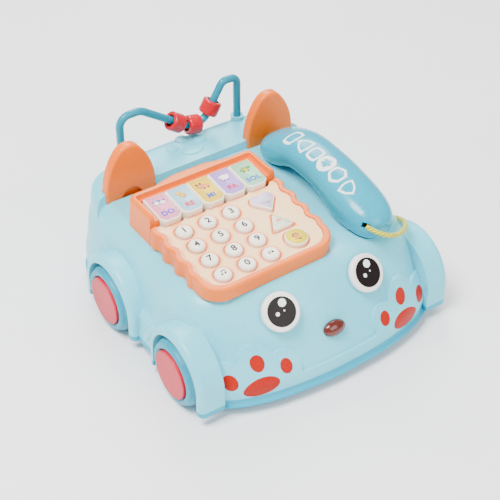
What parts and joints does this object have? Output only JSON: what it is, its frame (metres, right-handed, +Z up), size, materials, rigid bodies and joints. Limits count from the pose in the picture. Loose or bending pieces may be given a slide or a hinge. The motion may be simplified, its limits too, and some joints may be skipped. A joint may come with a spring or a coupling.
{
  "type": "toy telephone",
  "caption": "Push-along toy telephone shaped as an animal-faced car, with lift-off handset, number buttons, piano keys, ears, bead wire and four wheels.",
  "frame": {"origin": "on the floor under the middle of the body's box, without the cord", "axes": "+Z up, the face looks along -Y, +X towards the handset"},
  "size_m": [0.2223, 0.2167, 0.1222],
  "materials": {
    "body_blue": "satin gloss",
    "teal": "satin gloss",
    "orange": "satin",
    "peach": "satin",
    "eye_white": "gloss, printed pupil",
    "nose_brown": "gloss",
    "wire_teal": "coated",
    "cord_yellow": "braided",
    "board_green": "laminate",
    "silicone": "matt",
    "speaker_black": "matt",
    "steel": "plain",
    "battery_case": "plain wrap",
    "handset_teal": "gloss",
    "button_white": "satin",
    "heart_cap": "satin, printed",
    "triangle_cap": "satin, printed",
    "round_cap": "satin, printed",
    "key_pink": "satin, printed",
    "key_blue": "satin, printed",
    "key_yellow": "satin, printed",
    "key_lilac": "satin, printed",
    "key_mint": "satin, printed",
    "wheel_teal": "satin",
    "hub_pink": "satin",
    "bead_red": "gloss"
  },
  "bodies": {
    "body": {"upper_shell": "body_blue", "base_plate": "teal", "keypad_housing": "orange", "keypad_plate": "peach", "piano_hood": "orange", "ear_left": "orange", "ear_right": "orange", "eye_left": "eye_white", "eye_right": "eye_white", "nose": "nose_brown", "bead_wire": "wire_teal", "wire_collars": "body_blue", "cord_grommet": "teal", "cord": "cord_yellow", "circuit_board": "board_green", "button_mat": "silicone", "speaker": "speaker_black", "battery_door": "teal", "door_screw": "steel", "batteries": "battery_case", "battery_contacts": "steel", "case_screws": "steel"},
    "key_1": {"button_1": "button_white"},
    "key_2": {"button_2": "button_white"},
    "key_3": {"button_3": "button_white"},
    "key_4": {"button_4": "button_white"},
    "key_5": {"button_5": "button_white"},
    "key_6": {"button_6": "button_white"},
    "key_7": {"button_7": "button_white"},
    "key_8": {"button_8": "button_white"},
    "key_9": {"button_9": "button_white"},
    "key_melody": {"button_melody": "button_white"},
    "key_0": {"button_0": "button_white"},
    "key_mode": {"button_mode": "button_white"},
    "heart_key": {"heart_button": "heart_cap"},
    "triangle_key": {"triangle_button": "triangle_cap"},
    "round_key": {"round_button": "round_cap"},
    "piano_1": {"piano_key_1": "key_pink"},
    "piano_2": {"piano_key_2": "key_blue"},
    "piano_3": {"piano_key_3": "key_yellow"},
    "piano_4": {"piano_key_4": "key_lilac"},
    "piano_5": {"piano_key_5": "key_mint"},
    "front_wheels": {"axle_front": "steel", "wheel_front_left": "wheel_teal", "wheel_front_right": "wheel_teal", "hub_disc_front_left": "hub_pink", "hub_disc_front_right": "hub_pink"},
    "rear_wheels": {"axle_rear": "steel", "wheel_rear_left": "wheel_teal", "wheel_rear_right": "wheel_teal", "hub_disc_rear_left": "hub_pink", "hub_disc_rear_right": "hub_pink"},
    "bead_1_body": {"bead_1": "bead_red"},
    "bead_2_body": {"bead_2": "bead_red"},
    "bead_3_body": {"bead_3": "bead_red"},
    "handset": {"handset_top": "handset_teal", "handset_bottom": "handset_teal", "handset_screws": "steel"},
    "switch": {"power_switch": "speaker_black"}
  },
  "joints": [
    {"name": "press_1", "type": "slide", "parent": "body", "child": "key_1", "axis": [0, 0.075, -0.9972], "range_m": [0, 0.0018], "stiffness_N_per_m": 300},
    {"name": "press_2", "type": "slide", "parent": "body", "child": "key_2", "axis": [0, 0.075, -0.9972], "range_m": [0, 0.0018], "stiffness_N_per_m": 300},
    {"name": "press_3", "type": "slide", "parent": "body", "child": "key_3", "axis": [0, 0.075, -0.9972], "range_m": [0, 0.0018], "stiffness_N_per_m": 300},
    {"name": "press_4", "type": "slide", "parent": "body", "child": "key_4", "axis": [0, 0.075, -0.9972], "range_m": [0, 0.0018], "stiffness_N_per_m": 300},
    {"name": "press_5", "type": "slide", "parent": "body", "child": "key_5", "axis": [0, 0.075, -0.9972], "range_m": [0, 0.0018], "stiffness_N_per_m": 300},
    {"name": "press_6", "type": "slide", "parent": "body", "child": "key_6", "axis": [0, 0.075, -0.9972], "range_m": [0, 0.0018], "stiffness_N_per_m": 300},
    {"name": "press_7", "type": "slide", "parent": "body", "child": "key_7", "axis": [0, 0.075, -0.9972], "range_m": [0, 0.0018], "stiffness_N_per_m": 300},
    {"name": "press_8", "type": "slide", "parent": "body", "child": "key_8", "axis": [0, 0.075, -0.9972], "range_m": [0, 0.0018], "stiffness_N_per_m": 300},
    {"name": "press_9", "type": "slide", "parent": "body", "child": "key_9", "axis": [0, 0.075, -0.9972], "range_m": [0, 0.0018], "stiffness_N_per_m": 300},
    {"name": "press_melody", "type": "slide", "parent": "body", "child": "key_melody", "axis": [0, 0.075, -0.9972], "range_m": [0, 0.0018], "stiffness_N_per_m": 300},
    {"name": "press_0", "type": "slide", "parent": "body", "child": "key_0", "axis": [0, 0.075, -0.9972], "range_m": [0, 0.0018], "stiffness_N_per_m": 300},
    {"name": "press_mode", "type": "slide", "parent": "body", "child": "key_mode", "axis": [0, 0.075, -0.9972], "range_m": [0, 0.0018], "stiffness_N_per_m": 300},
    {"name": "press_heart", "type": "slide", "parent": "body", "child": "heart_key", "axis": [0, 0.075, -0.9972], "range_m": [0, 0.0018], "stiffness_N_per_m": 300},
    {"name": "press_triangle", "type": "slide", "parent": "body", "child": "triangle_key", "axis": [0, 0.075, -0.9972], "range_m": [0, 0.0018], "stiffness_N_per_m": 300},
    {"name": "press_round", "type": "slide", "parent": "body", "child": "round_key", "axis": [0, 0.075, -0.9972], "range_m": [0, 0.0018], "stiffness_N_per_m": 300},
    {"name": "press_piano_1", "type": "hinge", "parent": "body", "child": "piano_1", "pos_m": [-0.0265, 0.0369, 0.08993], "axis": [1, 0, 0], "range_deg": [0, 3], "stiffness_Nm_per_rad": 0.4},
    {"name": "press_piano_2", "type": "hinge", "parent": "body", "child": "piano_2", "pos_m": [-0.0265, 0.0369, 0.08993], "axis": [1, 0, 0], "range_deg": [0, 3], "stiffness_Nm_per_rad": 0.4},
    {"name": "press_piano_3", "type": "hinge", "parent": "body", "child": "piano_3", "pos_m": [-0.0265, 0.0369, 0.08993], "axis": [1, 0, 0], "range_deg": [0, 3], "stiffness_Nm_per_rad": 0.4},
    {"name": "press_piano_4", "type": "hinge", "parent": "body", "child": "piano_4", "pos_m": [-0.0265, 0.0369, 0.08993], "axis": [1, 0, 0], "range_deg": [0, 3], "stiffness_Nm_per_rad": 0.4},
    {"name": "press_piano_5", "type": "hinge", "parent": "body", "child": "piano_5", "pos_m": [-0.0265, 0.0369, 0.08993], "axis": [1, 0, 0], "range_deg": [0, 3], "stiffness_Nm_per_rad": 0.4},
    {"name": "front_axle_spin", "type": "hinge", "parent": "body", "child": "front_wheels", "pos_m": [0, -0.0592, 0.0246], "axis": [1, 0, 0], "continuous": true},
    {"name": "rear_axle_spin", "type": "hinge", "parent": "body", "child": "rear_wheels", "pos_m": [0, 0.0294, 0.0246], "axis": [1, 0, 0], "continuous": true},
    {"name": "bead_1_slide", "type": "slide", "parent": "body", "child": "bead_1_body", "axis": [-0.8161, 0, 0.5779], "range_m": [0, 0.014]},
    {"name": "bead_2_spin", "type": "hinge", "parent": "body", "child": "bead_2_body", "pos_m": [0.0105, 0.0975, 0.0912], "axis": [0.9781, 0, -0.2079], "continuous": true},
    {"name": "bead_3_slide", "type": "slide", "parent": "body", "child": "bead_3_body", "axis": [0.5165, 0, 0.8563], "range_m": [0, 0.009]},
    {"name": "handset_lift", "type": "slide", "parent": "body", "child": "handset", "axis": [0, 0, 1], "range_m": [0, 0.06]},
    {"name": "switch_slide", "type": "slide", "parent": "body", "child": "switch", "axis": [1, 0, 0], "range_m": [0, 0.008]}
  ]
}
